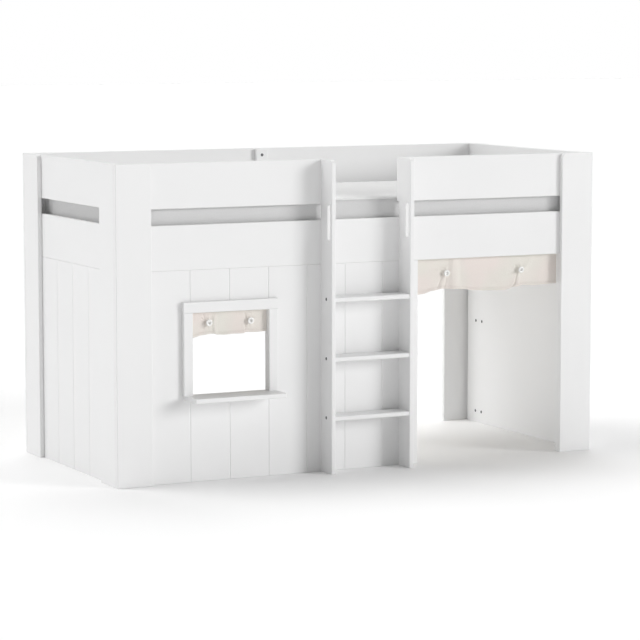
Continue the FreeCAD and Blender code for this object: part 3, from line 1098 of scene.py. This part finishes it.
def add_den_lamp(power):
    """A soft lamp inside the den that lights its right wall and its back."""
    low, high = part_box("slat_rail_front")
    light = bpy.data.lights.new("den_light", "AREA")
    light.shape = "RECTANGLE"
    light.energy = power
    light.size, light.size_y = DEN_LAMP_SIZE
    light.color = DEN_LAMP_COLOUR
    lamp = add_object("den_light", light)
    lamp.location = Vector(((low.x + high.x) / 2, (low.y + high.y) / 2, low.z)) + Vector(DEN_LAMP_SHIFT)
    lamp.rotation_euler = DEN_LAMP_TURN
    lamp.visible_camera = False


def make_camera(settings):
    camera = bpy.data.cameras.new("camera")
    camera.lens = settings.lens
    camera.clip_end = FLOOR_REACH * 4
    holder = add_object("camera", camera)
    holder.location = settings.camera_place
    holder.rotation_euler = (math.pi / 2 - settings.camera_tilt, 0, -settings.camera_turn)
    bpy.context.scene.camera = holder


# Which nodes get which finish
LONG_BOARDS = [
    "guard_front_left",
    "guard_front_right",
    "guard_back",
    "rail_front",
    "rail_back",
    "window_head",
    "window_sill",
    "slat_rail_front",
    "slat_rail_back",
    "ladder_tread_lower",
    "ladder_tread_middle",
    "ladder_tread_upper",
]
CROSS_BOARDS = ["guard_end_left", "guard_end_right", "rail_end_left", "rail_end_right"]
BOLT_NODES = ["end_board_bolts", "long_board_bolts", "tread_bolts", "ladder_screws", "batten_bolts"]
TAPES = ["window_valance_tape", "door_valance_tape"]

# How the two valances hang and crease, in the forms that the Valance class names
WINDOW_DROPS = [
    (0, 0.0073), (0.17, -0.002), (0.29, -0.005), (0.35, -0.0005), (0.46, 0.0016),
    (0.54, -0.0005), (0.685, 0), (0.727, -0.0043), (0.86, -0.0023), (1, -0.0035),
]
WINDOW_PLEATS = [(0.313, 0.016, 0.0035)]
WINDOW_CREASES = [
    (0, (-1.6, -2.3), (-1.1, -0.6), 0.25, -0.0026),
    (0, (-2.1, -1.2), (-0.9, -0.1), 0.32, -0.0036),
    (0, (-1.6, 1.7), (-0.9, 0.4), 0.25, -0.0026),
    (0, (0.0, 3.2), (1.2, 3.2), 0.25, -0.0016),
    (1, (-1.5, -2.1), (-1.35, 1.4), 0.34, -0.0042),
    (1, (-1.4, 1.4), (-1.45, 3.8), 0.2, -0.0014),
    (1, (0.5, -2.3), (0.3, -1.2), 0.22, -0.0016),
]
DOOR_DROPS = [
    (0, 0.010), (0.05, 0.010), (0.10, 0.007), (0.165, -0.004), (0.23, -0.0107),
    (0.30, -0.0078), (0.37, -0.0044), (0.44, 0.002), (0.51, 0.005), (0.645, 0.0076),
    (0.715, -0.003), (0.78, -0.009), (0.85, -0.0055), (0.915, -0.0083), (1, -0.010),
]
DOOR_PLEATS = [(0.300, 0.040, 0.0060)]
DOOR_CREASES = [
    (0, (-1.5, -0.5), (-1.4, 0.9), 0.35, -0.0034),
    (0, (-1.4, 1.4), (-2.9, 4.8), 0.28, -0.0030),
    (0, (-0.5, 1.4), (-1.7, 4.9), 0.40, 0.0022),
    (0, (0.65, 0.9), (-0.4, 4.8), 0.25, -0.0024),
    (0, (-5.2, -1.4), (-1.6, -1.9), 0.6, -0.0014),
    (1, (-1.5, -0.9), (-1.15, 0.7), 0.45, -0.0048),
    (1, (-1.1, 1.2), (-1.65, 4.3), 0.26, -0.0034),
    (1, (-1.65, 4.3), (-2.9, 5.5), 0.26, -0.0030),
    (1, (-0.6, 1.2), (-0.45, 4.8), 0.42, 0.0018),
    (1, (-0.8, 4.9), (0.4, 5.6), 0.3, -0.0016),
    (1, (4.2, -3.6), (1.8, 0.3), 1.0, 0.0018),
    (1, (-4.0, 1.0), (-1.7, 0.4), 0.6, -0.0014),
]


def upright_boards():
    kinds = ("post_", "panel_", "doorway_", "window_jamb_", "ladder_stile_", "back_batten")
    return [name for name in nodes if name.startswith(kinds)]


# Operators
class RAISEDBED_OT_paint_boards(bpy.types.Operator):
    """Paints the posts, boards, panels, window frame and ladder white"""

    bl_idname = "raised_bed.paint_boards"
    bl_label = "Paint Boards"

    def execute(self, context):
        settings = context.scene.raised_bed.paint
        streaks = shared("Streaks", streaks_group)
        for name, members, stretch in (
            ("white_paint_long", LONG_BOARDS, (BRUSH_ALONG, BRUSH_ACROSS, BRUSH_ACROSS)),
            ("white_paint_cross", CROSS_BOARDS, (BRUSH_ACROSS, BRUSH_ALONG, BRUSH_ACROSS)),
            ("white_paint_upright", upright_boards(), (BRUSH_ACROSS, BRUSH_ACROSS, BRUSH_ALONG)),
        ):
            dress(members, paint_material(name, settings, streaks, stretch))
        return {"FINISHED"}


class RAISEDBED_OT_pine_slats(bpy.types.Operator):
    """Gives the slats their bare pine"""

    bl_idname = "raised_bed.pine_slats"
    bl_label = "Pine Slats"

    def execute(self, context):
        material = pine_material(context.scene.raised_bed.pine, shared("Streaks", streaks_group))
        slats = [name for name in nodes if name.startswith("slat_") and name[len("slat_"):].isdigit()]
        dress(slats, material)
        return {"FINISHED"}


class RAISEDBED_OT_bolts(bpy.types.Operator):
    """Puts round socket heads in the places of the bolts and screws"""

    bl_idname = "raised_bed.bolts"
    bl_label = "Bolts"

    def execute(self, context):
        settings = context.scene.raised_bed.steel
        material = steel_material(settings, shared("Streaks", streaks_group))
        for node in BOLT_NODES:
            bolts_for(node, settings, material)
        dress(["tread_barrel_nuts", "slat_screws"], material)
        return {"FINISHED"}


class RAISEDBED_OT_knobs(bpy.types.Operator):
    """Turns the four round knobs with a hollow in the middle"""

    bl_idname = "raised_bed.knobs"
    bl_label = "Knobs"

    def execute(self, context):
        settings = context.scene.raised_bed.knobs
        lacquer = knob_material(settings, shared("Streaks", streaks_group))
        for node in ("window_valance_knobs", "door_valance_knobs"):
            places = []
            for points in islands(node):
                low, high = box_of(points)
                foot = Vector(((low.x + high.x) / 2, high.y, (low.z + high.z) / 2))
                places.append((foot, -ALONG_Y))
            profile = knob_profile((high.x - low.x) / 2, high.y - low.y)
            piece = turned_pieces(node + "_turned", profile, settings.sides, places, lacquer)
            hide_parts(node)
        return {"FINISHED"}


class RAISEDBED_OT_valances(bpy.types.Operator):
    """Hangs the two cotton valances from their hook tapes"""

    bl_idname = "raised_bed.valances"
    bl_label = "Valances"

    def execute(self, context):
        settings = context.scene.raised_bed.valances
        weave = shared("Plain weave", weave_group)
        cream, blush = settings.cream, settings.blush
        cotton = cloth_material("natural_cotton", weave, cream, blush, threads=640.0, depth=0.00035)
        tape = cloth_material("hook_tape", weave, darker(cream, 0.05), cream, threads=900.0, depth=0.0004)
        dress(TAPES, tape)
        make_valance("window_valance", settings, cotton, WINDOW_DROPS, WINDOW_PLEATS, WINDOW_CREASES)
        make_valance("door_valance", settings, cotton, DOOR_DROPS, DOOR_PLEATS, DOOR_CREASES)
        return {"FINISHED"}


class RAISEDBED_OT_mattress(bpy.types.Operator):
    """Fills the mattress and sews its piping on"""

    bl_idname = "raised_bed.mattress"
    bl_label = "Mattress"

    def execute(self, context):
        settings = context.scene.raised_bed.mattress
        weave = shared("Plain weave", weave_group)
        knit = knit_material("knitted_cover", weave, settings.colour)
        # The sides get a darker copy of the knit than the top: painted shade
        side_shade = knit_material("knitted_border", weave, settings.side_shade)
        low, high = cover_box(settings)
        corner = MATTRESS_CORNER - settings.shrink
        top, base = high.z - MATTRESS_RIM * TOP_PIPING, low.z + MATTRESS_RIM * BASE_PIPING
        make_cover(settings, low, high, corner, top, knit, side_shade)
        make_piping("mattress_piping_top", settings, low, high, corner, top, knit)
        make_piping("mattress_piping_base", settings, low, high, corner, base, knit)
        return {"FINISHED"}


class RAISEDBED_OT_stage(bpy.types.Operator):
    """Sets up the floor, the soft lights, the white background and the camera"""

    bl_idname = "raised_bed.stage"
    bl_label = "Stage"

    def execute(self, context):
        settings = context.scene.raised_bed.stage
        mesh = bpy.data.meshes.new("floor")
        corners = [(x * FLOOR_REACH, y * FLOOR_REACH, 0) for x, y in ((-1, -1), (1, -1), (1, 1), (-1, 1))]
        mesh.from_pydata(corners, [], [(0, 1, 2, 3)])
        mesh.materials.append(floor_material(settings))
        floor = add_object("floor", mesh)
        floor.location.z = -FLOOR_DROP
        make_world(settings)
        for name, turn, rise, softness in SUNS:
            add_sun(name + "_light", getattr(settings, name), from_side(turn, rise), math.radians(softness))
        add_den_lamp(settings.den)
        make_camera(settings)
        context.scene.view_settings.view_transform = "Standard"
        return {"FINISHED"}


class RAISEDBED_PT_looks(bpy.types.Panel):
    """Lists the steps that dress the bed"""

    bl_label = "Raised Bed"
    bl_idname = "RAISEDBED_PT_looks"
    bl_space_type = "VIEW_3D"
    bl_region_type = "UI"
    bl_category = "Raised Bed"

    def draw(self, context):
        for operator in OPERATORS:
            self.layout.operator(operator.bl_idname)


SETTINGS = (
    PaintSettings,
    PineSettings,
    SteelSettings,
    KnobSettings,
    ValanceSettings,
    MattressSettings,
    StageSettings,
    RaisedBedSettings,
)
OPERATORS = (
    RAISEDBED_OT_paint_boards,
    RAISEDBED_OT_pine_slats,
    RAISEDBED_OT_bolts,
    RAISEDBED_OT_knobs,
    RAISEDBED_OT_valances,
    RAISEDBED_OT_mattress,
    RAISEDBED_OT_stage,
)
CLASSES = SETTINGS + OPERATORS + (RAISEDBED_PT_looks,)


def register():
    for kind in CLASSES:
        bpy.utils.register_class(kind)
    bpy.types.Scene.raised_bed = bpy.props.PointerProperty(type=RaisedBedSettings)


def unregister():
    del bpy.types.Scene.raised_bed
    for kind in reversed(CLASSES):
        bpy.utils.unregister_class(kind)


def main():
    register()
    bpy.ops.raised_bed.paint_boards()
    bpy.ops.raised_bed.pine_slats()
    bpy.ops.raised_bed.bolts()
    bpy.ops.raised_bed.knobs()
    bpy.ops.raised_bed.valances()
    bpy.ops.raised_bed.mattress()
    bpy.ops.raised_bed.stage()


if __name__ == "__main__":
    main()
